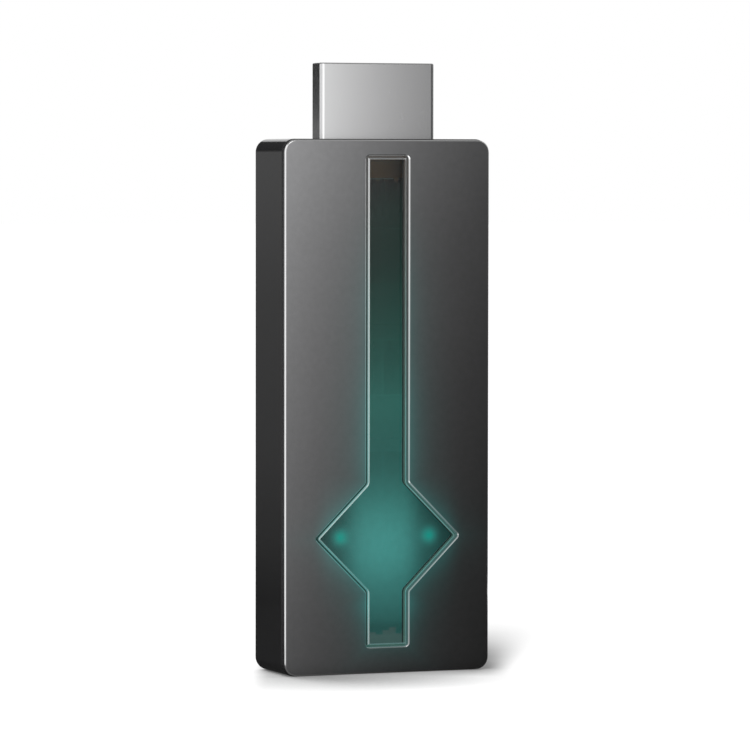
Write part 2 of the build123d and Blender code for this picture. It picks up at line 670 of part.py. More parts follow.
def build_switch_plunger():
    """The plunger, which the button pushes into the switch."""
    inner = SWITCH_FACE - PLUNGER_REACH / 2 - BUTTON_TRAVEL / 2
    y, z = around(BUTTON_Y, PLUNGER_SIZE[0]), around(BUTTON_Z, PLUNGER_SIZE[1])
    plunger = block((inner, PLUNGER_TIP), y, z)
    return chamfer(plunger.faces().sort_by(Axis.X)[-1].edges(), PLUNGER_CLEARANCE)


def build_switch_cover():
    """The sheet cover over the switch, folded down at both ends."""
    x = (SWITCH_FACE - SWITCH_SIZE[0], SWITCH_FACE)
    top = BOARD_FRONT - SWITCH_HEIGHT
    ends = around(BUTTON_Z, SWITCH_SIZE[1])
    outer = (ends[0] - SWITCH_COVER_SHEET, ends[1] + SWITCH_COVER_SHEET)
    cover = block(x, (top - SWITCH_COVER_SHEET, top), outer)
    cover += block(x, (top, BOARD_FRONT), (outer[0], ends[0]))
    return cover + block(x, (top, BOARD_FRONT), (ends[1], outer[1]))


def build_processor():
    """The processor: a substrate with a smaller moulded top."""
    x, z = board_place(PROCESSOR_SHARES)
    substrate = on_board(x, z, PROCESSOR_SIZE, 0.4 * PROCESSOR_HEIGHT, side=1)
    top_size = [0.92 * side for side in PROCESSOR_SIZE]
    return substrate + on_board(x, z, top_size, PROCESSOR_HEIGHT, side=1)


def build_thermal_pad():
    """The soft pad that fills the space between the processor and the spreader."""
    x, z = board_place(PROCESSOR_SHARES)
    width, length = [0.88 * side for side in PROCESSOR_SIZE]
    depth = (BOARD_BACK + PROCESSOR_HEIGHT, BACK_INNER - SPREADER_THICKNESS)
    return block(around(x, width), depth, around(z, length))


def build_heat_spreader():
    """The sheet on the inside of the back wall that spreads the processor's heat."""
    outline = Pos(*board_place(PROCESSOR_SHARES)) * RectangleRounded(*SPREADER_SIZE, BOARD_CORNER_RADIUS)
    return slab(outline, BACK_INNER - SPREADER_THICKNESS, BACK_INNER)


def moulded_chip(shares, size, height, side=-1):
    """A chip package with a bevel round its top."""
    chip = on_board(*board_place(shares), size, height, side)
    top = chip.faces().sort_by(Axis.Y)[0 if side < 0 else -1]
    return chamfer(top.edges(), 0.15 * height)


def build_radio_shield():
    """The drawn can over the radio module, open towards the board."""
    front = BOARD_FRONT - RADIO_BOARD - RADIO_CAN_HEIGHT
    x, z = [around(middle, length) for middle, length in zip(board_place(RADIO_SHARES), RADIO_SIZE)]
    seat = BOARD_FRONT - RADIO_BOARD
    can = block(x, (front, seat), z)
    sheet = RADIO_CAN_SHEET
    inner_x, inner_z = (x[0] + sheet, x[1] - sheet), (z[0] + sheet, z[1] - sheet)
    can = fillet(can.edges().filter_by(Axis.Y), 2 * sheet)
    return can - block(inner_x, (front + sheet, seat), inner_z)


def chip_part(shares, size, height, side=-1, upright=True):
    """A small two-ended component: a body between two slightly larger end caps."""
    x, z = board_place(shares)
    width, length = size
    body_size = (0.9 * width, length) if upright else (length, 0.9 * width)
    cap = 0.25 * length
    part = on_board(x, z, body_size, 0.9 * height, side)
    for end in (-1, 1):
        shift = end * (length - cap) / 2
        place = (x, z + shift) if upright else (x + shift, z)
        cap_size = (width, cap) if upright else (cap, width)
        part += on_board(*place, cap_size, height, side)
    return part


def build_capacitors():
    places = [(shares, -1) for shares in FRONT_CAPACITOR_SHARES]
    places += [(shares, 1) for shares in REAR_CAPACITOR_SHARES]
    return [chip_part(shares, CAPACITOR_SIZE, CAPACITOR_HEIGHT, side) for shares, side in places]


def build_resistors():
    return [chip_part(shares, RESISTOR_SIZE, RESISTOR_HEIGHT, upright=False) for shares in RESISTOR_SHARES]


def build_inductors():
    return [moulded_chip(shares, INDUCTOR_SIZE, INDUCTOR_HEIGHT) for shares in INDUCTOR_SHARES]


def build_all():
    return {
        "rear_housing": build_rear_housing(),
        "front_frame": build_front_frame(),
        "front_plate": build_front_plate(),
        "plate_adhesive": build_plate_adhesive(),
        "window_lens": build_window_lens(),
        "lens_tape": build_lens_tape(),
        "light_guide": build_light_guide(),
        "lamp_left": build_lamp(LAMPS[0]),
        "lamp_right": build_lamp(LAMPS[1]),
        "video_plug_shell": build_video_plug_shell(),
        "video_plug_insulator": build_video_plug_insulator(),
        "video_plug_contacts_front": contact_row(-1, FRONT_CONTACTS),
        "video_plug_contacts_rear": contact_row(1, REAR_CONTACTS),
        "plug_ground_clip": build_plug_ground_clip(),
        "main_board": build_main_board(),
        "board_screws": build_board_screws(),
        "processor": build_processor(),
        "thermal_pad": build_thermal_pad(),
        "heat_spreader": build_heat_spreader(),
        "memory_chip": moulded_chip(MEMORY_SHARES, MEMORY_SIZE, MEMORY_HEIGHT),
        "flash_chip": moulded_chip(FLASH_SHARES, FLASH_SIZE, FLASH_HEIGHT, side=1),
        "radio_module": on_board(*board_place(RADIO_SHARES), RADIO_SIZE, RADIO_BOARD),
        "radio_shield": build_radio_shield(),
        "chip_antenna": moulded_chip(ANTENNA_SHARES, ANTENNA_SIZE, ANTENNA_HEIGHT, side=1),
        "clock_crystal": moulded_chip(CRYSTAL_SHARES, CRYSTAL_SIZE, CRYSTAL_HEIGHT),
        "power_inductors": build_inductors(),
        "power_regulator": moulded_chip(REGULATOR_SHARES, REGULATOR_SIZE, REGULATOR_HEIGHT),
        "power_port_shell": build_power_port_shell(),
        "power_port_tongue": build_power_port_tongue(),
        "power_port_contacts": build_power_port_contacts(),
        "mode_button": build_mode_button(),
        "switch_body": build_switch_body(),
        "switch_plunger": build_switch_plunger(),
        "switch_cover": build_switch_cover(),
        "ceramic_capacitors": build_capacitors(),
        "chip_resistors": build_resistors(),
    }


def main():
    os.makedirs("parts", exist_ok=True)
    for name, shape in build_all().items():
        solids = shape if isinstance(shape, list) else [shape]
        found = [solid for item in solids for solid in item.solids()]
        whole = found[0] if len(found) == 1 else Compound(found)
        export_step(whole, f"parts/{name}.step")


main()
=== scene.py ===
"""Looks of the wireless display dongle: camera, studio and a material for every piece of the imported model."""

import math

import bpy
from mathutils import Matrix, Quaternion, Vector


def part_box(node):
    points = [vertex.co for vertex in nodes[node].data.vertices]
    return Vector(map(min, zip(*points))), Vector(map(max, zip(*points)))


MM = 0.001

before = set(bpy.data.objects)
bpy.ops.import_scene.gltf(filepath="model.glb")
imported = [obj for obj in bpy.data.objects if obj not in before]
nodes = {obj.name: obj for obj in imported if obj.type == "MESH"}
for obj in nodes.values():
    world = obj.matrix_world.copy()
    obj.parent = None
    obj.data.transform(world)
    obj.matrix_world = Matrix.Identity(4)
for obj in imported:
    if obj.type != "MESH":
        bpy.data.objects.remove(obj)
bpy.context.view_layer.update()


def middle(name):
    low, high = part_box(name)
    return (low + high) / 2


# Where things are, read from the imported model
plate_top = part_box("front_plate")[1].z
lamp_places = [middle(name) for name in ("lamp_left", "lamp_right")]

# The window's outline, for the painted glow that spills from it
DIAMOND_HEIGHT = lamp_places[0].z
DIAMOND_REACH = 8.73 * MM
BAR_HALF = 2.6 * MM
BAR_FOOT = 3.05 * MM

# Faces further out than these are the plate's rim, and those further in are the window's
RIM_SIDE = 11.5 * MM
RIM_DEPTH = 1.2 * MM

# The y part of a face's normal: a bevel's lies in this range, and a side wall's is below this
BEVEL_SLANT = (-0.9, -0.4)
WALL_SLANT = 0.1

# What soften() joins, flattens and rounds
WELD_WITHIN = 1e-6
FLAT_WITHIN = math.radians(0.4)
SHARP_FROM = math.radians(30)

# Noise mostly lies in this range, and ramps up the body run from the floor to this height
NOISE_RANGE = (0.3, 0.7)
RAMP_TOP = 60 * MM

# Camera, fitted to the photograph
CAMERA_AZIMUTH = math.radians(21.545)
CAMERA_PITCH = math.radians(2.455)
CAMERA_LENS = 234.62
CAMERA_DISTANCE = 551.96 * MM
CAMERA_AIM = Vector((-1.502, -4.950, 33.868)) * MM
CAMERA_ROLL = math.radians(0.07)

# Studio. Lamps are suns, so that the floor is evenly lit out to the horizon.
KEY_SUN = 2.4
REAR_SUN = 1.0
WORLD_LIGHT = 0.35
FLOOR_COLOUR = 0.25
FLOOR_GLOW = 0.86
FLOOR_HALF_WIDTH = 4.0

# The front card is brightest at its upper left. It falls off to the right, per millimetre, less at the plug.
FRONT_CARD_Y = -30.0
CARD_JOIN_Y = -4.0
CARD_LIFT = 0.03
CARD_LEVEL = 1.42
CARD_FALL_SHIFT = 1.7 * MM
CARD_FALL_ACROSS = 0.073
CARD_FALL_AT_PLUG = 0.064
CARD_TOP = 80 * MM

# The floor's painted shade: a dark foot round the object's front, and a soft shadow cast to the rear right
FOOT_SKY = (158, 10)
FOOT_REACH = 20 * MM
FOOT_TURN = math.radians(21.5)
FOOT_FADE = (-14.2 * MM, -11.4 * MM)
CAST_TURN = math.radians(25)
CAST_SHIFT = 1.2 * MM
CAST_HALF_WIDTH = 13.7 * MM
CAST_BLUR = (1.6 * MM, 6.0 * MM)
CAST_RANGE = (-7 * MM, 63 * MM)

# The guide's light: a ball in the diamond and a spot at each lamp. The spots show a little off the lamps.
GLOW_GAIN = 1.05
BALL_LEVEL = 0.18
BALL_DROP = 0.87 * MM
BALL_SPREAD = 4.2 * MM
SPOT_LEVEL = 0.21
SPOT_SPREAD = 0.6 * MM
SPOT_SQUEEZE = 0.965
SPOT_SHIFT = 0.25 * MM

# The guide's toothed foot, painted dark as shade
GUIDE_FOOT_SHADE = 0.08
TOOTH_WIDTH = 0.8 * MM
TOOTH_TOPS = (4.2 * MM, 5.2 * MM)

# The painted glow of light that spills onto the plate fades over this distance from the window
SPILL_REACH = 1.5 * MM
TEAL = (0.02, 1.0, 0.93)
SMOKE = (0.86, 0.90, 0.89, 1.0)


# ------------------------------------------------------------------------------ node helpers

class Nodes:
    """One material's node tree, with short ways to add and join its nodes."""

    def __init__(self, name, world=None):
        self.material = world or bpy.data.materials.new(name)
        self.material.use_nodes = True
        self.tree = self.material.node_tree
        self.tree.nodes.clear()
        self.output = self.add("ShaderNodeOutputWorld" if world else "ShaderNodeOutputMaterial")
        self.coordinates = self.add("ShaderNodeTexCoord").outputs["Object"]

    def add(self, kind, inputs=(), **settings):
        node = self.tree.nodes.new(kind)
        for name, value in settings.items():
            setattr(node, name, value)
        for name, value in dict(inputs).items():
            self.put(node.inputs[name], value)
        return node

    def put(self, socket, value):
        if isinstance(value, bpy.types.NodeSocket):
            self.tree.links.new(value, socket)
        else:
            socket.default_value = value

    def math(self, operation, *values, clamp=False):
        return self.add(
            "ShaderNodeMath", enumerate(values), operation=operation, use_clamp=clamp
        ).outputs[0]

    def mapped(self, stretch):
        return self.add("ShaderNodeMapping", {"Vector": self.coordinates, "Scale": stretch}).outputs[0]

    def split(self, vector=None):
        return self.add("ShaderNodeSeparateXYZ", {0: vector or self.coordinates}).outputs

    def noise(self, size, detail=2.0, roughness=0.5, stretch=(1, 1, 1)):
        """Noise whose features are this many millimetres across."""
        inputs = {"Vector": self.mapped(stretch), "Scale": 1 / (size * MM)}
        inputs.update({"Detail": detail, "Roughness": roughness})
        return self.add("ShaderNodeTexNoise", inputs).outputs["Fac"]

    def cells(self, size):
        """Distance from the nearest of scattered points that lie about this many millimetres apart."""
        inputs = {"Vector": self.coordinates, "Scale": 1 / (size * MM)}
        return self.add("ShaderNodeTexVoronoi", inputs).outputs["Distance"]

    def ramp(self, value, stops):
        """A value through colour stops: each is a place and a grey or a colour."""
        node = self.add("ShaderNodeValToRGB", {0: value})
        elements = node.color_ramp.elements
        while len(elements) < len(stops):
            elements.new(1.0)
        for element, (place, colour) in zip(elements, stops):
            element.position = place
            if isinstance(colour, (int, float)):
                colour = (colour,) * 3
            element.color = (*colour, 1.0)
        return node.outputs["Color"]

    def by_height(self, z, stops):
        """A ramp up the body: each stop's place is a share of RAMP_TOP."""
        return self.ramp(self.linear(z, 0, RAMP_TOP), stops)

    def linear(self, value, low, high, to_low=0.0, to_high=1.0, **settings):
        """Carries a value from one range to another, and holds it beyond the ends."""
        inputs = {"Value": value, "From Min": low, "From Max": high, "To Min": to_low, "To Max": to_high}
        return self.add("ShaderNodeMapRange", inputs, **settings).outputs["Result"]

    def smooth(self, value, low, high, to_low=0.0, to_high=1.0):
        """The same, with soft ends."""
        return self.linear(value, low, high, to_low, to_high, interpolation_type="SMOOTHSTEP")

    def from_noise(self, value, low, high):
        """Carries a noise value to a range."""
        return self.linear(value, *NOISE_RANGE, low, high)

    def blend(self, factor, first, second):
        node = self.add("ShaderNodeMix", {0: factor, 6: first, 7: second}, data_type="RGBA")
        return node.outputs[2]

    def scaled(self, colour, factor):
        """A colour, or a grey, times a number."""
        return self.add("ShaderNodeVectorMath", {0: colour, "Scale": factor}, operation="SCALE").outputs[0]

    def facing(self):
        """How far the surface faces right, left, up and down, each from 0 to 1."""
        x, _, z = self.split(self.add("ShaderNodeNewGeometry").outputs["True Normal"])
        return [
            self.math("MAXIMUM", self.math("MULTIPLY", value, sign), 0.0)
            for value, sign in ((x, 1), (x, -1), (z, 1), (z, -1))
        ]

    def bump(self, height, depth, strength=1.0):
        """A bump whose full height is this many millimetres."""
        inputs = {"Height": height, "Distance": depth * MM, "Strength": strength}
        return self.add("ShaderNodeBump", inputs).outputs["Normal"]

    def shader(self, colour, roughness, metallic=0.0, normal=None, **others):
        inputs = {"Base Color": colour, "Roughness": roughness, "Metallic": metallic}
        inputs.update({name.replace("_", " "): value for name, value in others.items()})
        if normal is not None:
            inputs["Normal"] = normal
        return self.add("ShaderNodeBsdfPrincipled", inputs).outputs[0]

    def finish(self, shader):
        self.put(self.output.inputs["Surface"], shader)
        return self.material


def rgba(colour):
    """A colour as a socket takes it."""
    return (*colour, 1.0)


def around_colour(tree, value, colour, spread):
    """A colour that varies a little either side of what is written, along a 0 to 1 value."""
    darker = rgba([c * (1 - spread) for c in colour])
    lighter = rgba([c * (1 + spread) for c in colour])
    return tree.blend(value, darker, lighter)


# ------------------------------------------------------------------------------ materials

def painted_teal_spill(tree):
    """A painted teal glow, as of light leaking from the window onto the plate, strongest along the lower bar
    and the diamond.
    """
    x, _, z = tree.split()
    side = tree.math("ABSOLUTE", x)
    up = tree.math("ABSOLUTE", tree.math("SUBTRACT", z, DIAMOND_HEIGHT))
    diamond = tree.math("SUBTRACT", tree.math("ADD", side, up), DIAMOND_REACH)
    diamond = tree.math("MULTIPLY", diamond, 1 / math.sqrt(2))
    bar = tree.math("MAXIMUM", tree.math("SUBTRACT", side, BAR_HALF), tree.math("SUBTRACT", BAR_FOOT, z))
    off = tree.math("MAXIMUM", tree.math("MINIMUM", diamond, bar), 0.0)
    near = tree.math("EXPONENT", tree.math("MULTIPLY", off, -1 / SPILL_REACH))
    along = tree.by_height(z, [
        (0.0, 0.018), (0.058, 0.036), (0.095, 0.062), (0.13, 0.115), (0.17, 0.085), (0.35, 0.085),
        (0.42, 0.094), (0.51, 0.085), (0.60, 0.056), (0.70, 0.048), (0.80, 0.024), (0.88, 0.007), (1.0, 0.0),
    ])
    tips = tree.smooth(side, 6.8 * MM, 9.5 * MM, 1.0, 0.28)
    right = tree.linear(x, -8 * MM, 8 * MM, 1.0, 0.68)
    return tree.math("MULTIPLY", tree.math("MULTIPLY", near, along), tree.math("MULTIPLY", tips, right))


def spill_on(tree, colour, gain):
    """The painted spill of light as a shader's own glow."""
    strength = tree.math("MULTIPLY", painted_teal_spill(tree), gain)
    return {"Emission_Color": rgba(colour), "Emission_Strength": strength}


def painted_highlight_level(tree, *terms):
    """A painted highlight for an edge: one, and more for each (direction, weight)."""
    level = 1.0
    for value, weight in terms:
        level = tree.math("MULTIPLY_ADD", value, weight, level)
    return level


def plate_face():
    """Dark anodised metal with a fine sand-blasted grain, and a painted teal glow near the window."""
    tree = Nodes("plate_blasted")
    grain = tree.noise(0.09, detail=3, roughness=0.65)
    pits = tree.cells(0.16)
    cloud = tree.noise(7, detail=3)
    mottle = tree.linear(tree.noise(0.7, detail=2), 0, 1, 0.93, 1.07)
    colour = tree.scaled(around_colour(tree, grain, (0.215, 0.215, 0.218), 0.16), mottle)
    height = tree.math("ADD", grain, tree.math("MULTIPLY", pits, 0.6))
    rough = tree.math("ADD", tree.from_noise(grain, 0.34, 0.42), tree.from_noise(cloud, -0.015, 0.015))
    # The emission is the painted teal glow near the window
    return tree.finish(
        tree.shader(
            colour, rough, metallic=1.0, normal=tree.bump(height, 0.004, 0.5),
            Emission_Color=rgba(TEAL), Emission_Strength=painted_teal_spill(tree),
        )
    )


# Painted light on the cut edges: their grey by height in millimetres, mostly lighter towards the top
EDGE_PAINTED_LIGHT = [(5, 0.70), (25, 0.80), (60, 0.82)]
WINDOW_PAINTED_LIGHT = [(5, 0.28), (8, 0.23), (22, 0.28), (27, 0.35), (37, 0.48), (48, 0.60), (60, 0.62)]
LENS_PAINTED_LIGHT = [(5, 0.33), (8, 0.27), (22, 0.30), (27, 0.36), (37, 0.43), (48, 0.50), (60, 0.55)]


def falling_level(tree, levels):
    """A grey that changes with height, through levels of (height in millimetres, grey)."""
    return tree.by_height(tree.split()[2], [(height * MM / RAMP_TOP, grey) for height, grey in levels])


def polished_edge():
    """The diamond-cut edge of the plate, with the fine lines of the cutter. Its grey is painted lighter towards
    the top.
    """
    tree = Nodes("plate_edge_cut")
    lines = tree.noise(0.05, detail=2, stretch=(1, 1, 0.05))
    colour = tree.scaled(falling_level(tree, EDGE_PAINTED_LIGHT), tree.from_noise(lines, 0.97, 1.0))
    roughness = tree.from_noise(lines, 0.10, 0.16)
    return tree.finish(tree.shader(colour, roughness, metallic=1.0, normal=tree.bump(lines, 0.001, 0.2)))


def window_edge():
    """The same cut round the window, with a painted highlight: lighter where it faces up or to the lamps, and a
    painted teal glow.
    """
    tree = Nodes("plate_window_cut")
    lines = tree.noise(0.05, detail=2, stretch=(1, 1, 0.05))
    right, left, up, down = tree.facing()
    left_down, right_up = tree.math("MULTIPLY", left, down), tree.math("MULTIPLY", right, up)
    foot = tree.math("MAXIMUM", tree.math("SUBTRACT", tree.math("SUBTRACT", up, right), left), 0.0)
    painted_highlight = painted_highlight_level(tree, (right, -0.4), (left_down, 11.0), (right_up, 5.5), (foot, 2.9))
    level = tree.math("MULTIPLY", painted_highlight, tree.from_noise(lines, 0.97, 1.0))
    colour = tree.scaled(falling_level(tree, WINDOW_PAINTED_LIGHT), level)
    return tree.finish(
        tree.shader(
            colour, tree.from_noise(lines, 0.10, 0.16), metallic=1.0, normal=tree.bump(lines, 0.001, 0.2),
            **spill_on(tree, (0.15, 1.0, 0.95), 1.3),
        )
    )


def window_wall():
    """The plate's thickness inside the window, with a painted glow as of light leaking past the lens."""
    tree = Nodes("plate_window_wall")
    grain = tree.noise(0.12, detail=3)
    z = tree.split()[2]
    tint = tree.blend(tree.linear(z, 20 * MM, 48 * MM), rgba((0.45, 1.0, 0.95)), rgba((1.0, 0.99, 0.94)))
    painted_leak = tree.linear(z, 20 * MM, 40 * MM, 0.10, 0.055)
    return tree.finish(
        tree.shader(
            around_colour(tree, grain, (0.2, 0.2, 0.2), 0.1), tree.from_noise(grain, 0.35, 0.5), metallic=1.0,
            normal=tree.bump(grain, 0.003), Emission_Color=tint,
            Emission_Strength=tree.math("MULTIPLY", painted_leak, tree.from_noise(grain, 0.9, 1.1)),
        )
    )


def gloss_plastic(name, colour, roughness=0.10):
    """Piano-black moulding: a faint orange peel and a trace of haze."""
    tree = Nodes(name)
    peel = tree.noise(1.6, detail=1)
    haze = tree.noise(9, detail=4, roughness=0.6)
    rough = tree.linear(haze, 0.25, 0.75, roughness * 0.8, roughness * 1.3)
    return tree.finish(
        tree.shader(
            around_colour(tree, haze, colour, 0.08), rough, normal=tree.bump(peel, 0.0015, 0.25), IOR=1.5,
        )
    )


def moulded_plastic(name, colour, roughness=0.5, grain=0.12):
    """Spark-eroded moulding: an even fine grain."""
    tree = Nodes(name)
    texture = tree.noise(grain, detail=3, roughness=0.6)
    flow = tree.noise(2.5, detail=2, stretch=(1, 1, 0.3))
    rough = tree.from_noise(texture, roughness - 0.07, roughness + 0.07)
    return tree.finish(
        tree.shader(around_colour(tree, flow, colour, 0.12), rough, normal=tree.bump(texture, 0.004, 0.6))
    )


def sheet_metal(name, colour, roughness, stretch=(1, 1, 0.04), grain=0.05):
    """Rolled and plated sheet, with drawing lines along the given direction."""
    tree = Nodes(name)
    lines = tree.noise(grain, detail=3, roughness=0.7, stretch=stretch)
    cloud = tree.noise(2.2, detail=3)
    rough = tree.from_noise(lines, roughness - 0.03, roughness + 0.03)
    rough = tree.math("ADD", rough, tree.from_noise(cloud, -0.02, 0.02))
    colour = around_colour(tree, lines, colour, 0.05)
    return tree.finish(tree.shader(colour, rough, metallic=1.0, normal=tree.bump(lines, 0.0015, 0.4)))


def grained(name, colour, spread, rough, depth, size, metallic=0.0, **noise):
    """One fine grain that sets the colour, the roughness, from rough[0] to rough[1], and the relief."""
    tree = Nodes(name)
    grain = tree.noise(size, **noise)
    return tree.finish(
        tree.shader(
            around_colour(tree, grain, colour, spread), tree.from_noise(grain, *rough), metallic,
            normal=tree.bump(grain, depth),
        )
    )


def smoked_lens():
    """The clear lens, with a trace of smoke in it. It lets light through in place of a shadow."""
    tree = Nodes("lens_smoked")
    ripple = tree.noise(3.0, detail=1)
    glass = tree.shader(
        SMOKE, 0.02, normal=tree.bump(ripple, 0.0006, 0.2),
        IOR=1.42, Transmission_Weight=1.0, Specular_IOR_Level=0.10,
    )
    through = tree.add("ShaderNodeBsdfTransparent", {"Color": SMOKE}).outputs[0]
    shadow = tree.add("ShaderNodeLightPath").outputs["Is Shadow Ray"]
    return tree.finish(tree.add("ShaderNodeMixShader", {0: shadow, 1: glass, 2: through}).outputs[0])


def lens_bevel():
    """The lens's cut bevel, shown as a bright line by a painted highlight, most along its right side, and with
    a painted teal glow.
    """
    tree = Nodes("lens_bevel_cut")
    lines = tree.noise(0.06, detail=2, stretch=(1, 1, 0.1))
    right, left, up, down = tree.facing()
    right_down = tree.math("MULTIPLY", right, down)
    left_slant = tree.math("MULTIPLY", left, tree.math("ADD", up, down))
    foot = tree.math("MAXIMUM", tree.math("SUBTRACT", tree.math("SUBTRACT", down, right), left), 0.0)
    painted_highlight = painted_highlight_level(tree, (right, 1.7), (right_down, 6.0), (left_slant, 1.5), (foot, 1.4))
    return tree.finish(
        tree.shader(
            tree.scaled(falling_level(tree, LENS_PAINTED_LIGHT), painted_highlight), tree.from_noise(lines, 0.16, 0.24),
            metallic=0.8, normal=tree.bump(lines, 0.001, 0.2),
            **spill_on(tree, (0.10, 1.0, 0.93), 2.2),
        )
    )


def lens_wall(name, grey):
    """The lens's side walls, frosted by the mould, with a painted glow as of light from within."""
    tree = Nodes(name)
    frost = tree.noise(0.1, detail=3)
    colour = around_colour(tree, frost, (grey, grey * 0.98, grey * 0.95), 0.1)
    return tree.finish(
        tree.shader(
            colour, tree.from_noise(frost, 0.35, 0.5), normal=tree.bump(frost, 0.003),
            **spill_on(tree, (0.25, 1.0, 0.9), 0.5),
        )
    )


def lens_film():
    """The milky film that holds the lens, with a painted glow: teal as of the guide's light, and a warm grey
    above it.
    """
    tree = Nodes("film_milky")
    cloud = tree.noise(0.5, detail=3)
    glow = tree.by_height(tree.split()[2], [
        (0.11, (0.38, 1.0, 0.81)), (0.435, (0.36, 0.86, 0.72)), (0.665, (0.37, 0.59, 0.52)),
        (0.95, (0.54, 0.43, 0.38)),
    ])
    return tree.finish(
        tree.shader(
            around_colour(tree, cloud, (0.03, 0.03, 0.03), 0.15), tree.from_noise(cloud, 0.5, 0.65),
            normal=tree.bump(cloud, 0.004),
            Emission_Color=glow, Emission_Strength=tree.from_noise(cloud, 0.10, 0.12),
        )
    )


def blob(tree, across, along, spread):
    """A soft round spot, 1 in its middle."""
    off = tree.math("ADD", tree.math("POWER", across, 2.0), tree.math("POWER", along, 2.0))
    return tree.math("EXPONENT", tree.math("MULTIPLY", off, -1 / (2 * spread ** 2)))


def guide_glow(tree):
    """How brightly the guide glows up the bar and in a ball in the diamond, and, apart, at the two lamps."""
    x, _, z = tree.split()
    bar = tree.by_height(z, [
        (0.087, 0.056), (0.10, 0.080), (0.13, 0.092), (0.168, 0.085), (0.22, 0.092), (0.40, 0.090),
        (0.51, 0.097), (0.589, 0.0585), (0.646, 0.0425), (0.703, 0.0290), (0.78, 0.0145), (0.866, 0.010),
        (0.90, 0.005), (0.925, 0.0), (1.0, 0.0),
    ])
    bar = tree.math("MULTIPLY", bar, tree.smooth(tree.math("ABSOLUTE", x), 2.2 * MM, 5.5 * MM, 1.0, 0.12))
    ball = blob(tree, x, tree.math("SUBTRACT", z, DIAMOND_HEIGHT - BALL_DROP), BALL_SPREAD)
    spots = [
        blob(
            tree, tree.math("SUBTRACT", x, place.x * SPOT_SQUEEZE + SPOT_SHIFT),
            tree.math("SUBTRACT", z, place.z), SPOT_SPREAD,
        )
        for place in lamp_places
    ]
    return tree.math("ADD", bar, tree.math("MULTIPLY", ball, BALL_LEVEL)), tree.math("ADD", *spots)


def light_guide():
    """The diffuser, lit teal: milky at the diamond, thinner up the bar, and toothed at its foot, with painted
    shade at the foot and the outlines of the parts behind painted into its glow as light and shade.
    """
    tree = Nodes("guide_milky")
    x, _, z = tree.split()
    glow, spots = guide_glow(tree)
    cover = tree.by_height(z, [
        (0.07, 0.6), (0.088, 0.95), (0.11, 1.0), (0.42, 1.0), (0.5, 0.85), (0.6, 0.74), (0.75, 0.66),
        (0.925, 0.62), (0.93, 0.05),
    ])
    # The toothed foot glows less than the bar above it: painted shade
    step = tree.math("SNAP", x, TOOTH_WIDTH)
    teeth = tree.add("ShaderNodeTexWhiteNoise", {"W": step}, noise_dimensions="1D").outputs[0]
    foot = tree.math("LESS_THAN", z, tree.linear(teeth, 0, 1, *TOOTH_TOPS))
    haze = tree.noise(0.8, detail=3)
    # The outlines of the parts behind the guide, painted into its glow as light and shade
    painted_parts_behind = tree.add(
        "ShaderNodeTexBrick", {
            "Vector": tree.add("ShaderNodeCombineXYZ", {0: x, 1: z}).outputs[0], "Scale": 1 / (10 * MM),
            "Mortar Size": 0.010, "Mortar Smooth": 0.7, "Brick Width": 0.26, "Row Height": 0.63,
            "Color1": rgba((0.90,) * 3), "Color2": rgba((1.06,) * 3), "Mortar": rgba((1.20,) * 3),
        }, offset=0.37, squash=1.6,
    ).outputs["Color"]
    up = tree.linear(z, 15 * MM, 50 * MM)
    colour = tree.blend(up, rgba((0.20, 1.0, 0.92)), rgba((0.16, 1.0, 0.74)))
    colour = tree.blend(spots, colour, rgba((0.02, 1.0, 0.82)))
    colour = tree.blend(foot, colour, rgba((0.50, 1.0, 0.94)))
    painted_parts_behind = tree.blend(tree.smooth(z, 18 * MM, 30 * MM), (1, 1, 1, 1), painted_parts_behind)
    glow = tree.math("ADD", tree.math("MULTIPLY", glow, GLOW_GAIN), tree.math("MULTIPLY", spots, SPOT_LEVEL))
    strength = tree.add("ShaderNodeMix", {0: foot, 2: glow, 3: GUIDE_FOOT_SHADE}).outputs[0]
    strength = tree.math("MULTIPLY", strength, tree.from_noise(haze, 0.96, 1.04))
    strength = tree.math("MULTIPLY", strength, painted_parts_behind)
    strength = tree.math("DIVIDE", strength, cover)
    milk = tree.shader(
        rgba((0.004, 0.010, 0.009)), 0.55, Emission_Color=colour, Emission_Strength=strength,
        Specular_IOR_Level=0.0,
    )
    clear = tree.add("ShaderNodeBsdfTransparent", {"Color": (0.56, 0.60, 0.57, 1.0)}).outputs[0]
    return tree.finish(tree.add("ShaderNodeMixShader", {0: cover, 1: clear, 2: milk}).outputs[0])


def lamp_chip():
    """A lamp's phosphor, which glows teal."""
    tree = Nodes("lamp_phosphor")
    grain = tree.noise(0.08, detail=2)
    return tree.finish(
        tree.shader(
            around_colour(tree, grain, (0.45, 0.75, 0.66), 0.1), 0.4, normal=tree.bump(grain, 0.004),
            Emission_Color=rgba((0.02, 1.0, 0.72)), Emission_Strength=tree.from_noise(grain, 2.6, 3.4),
        )
    )


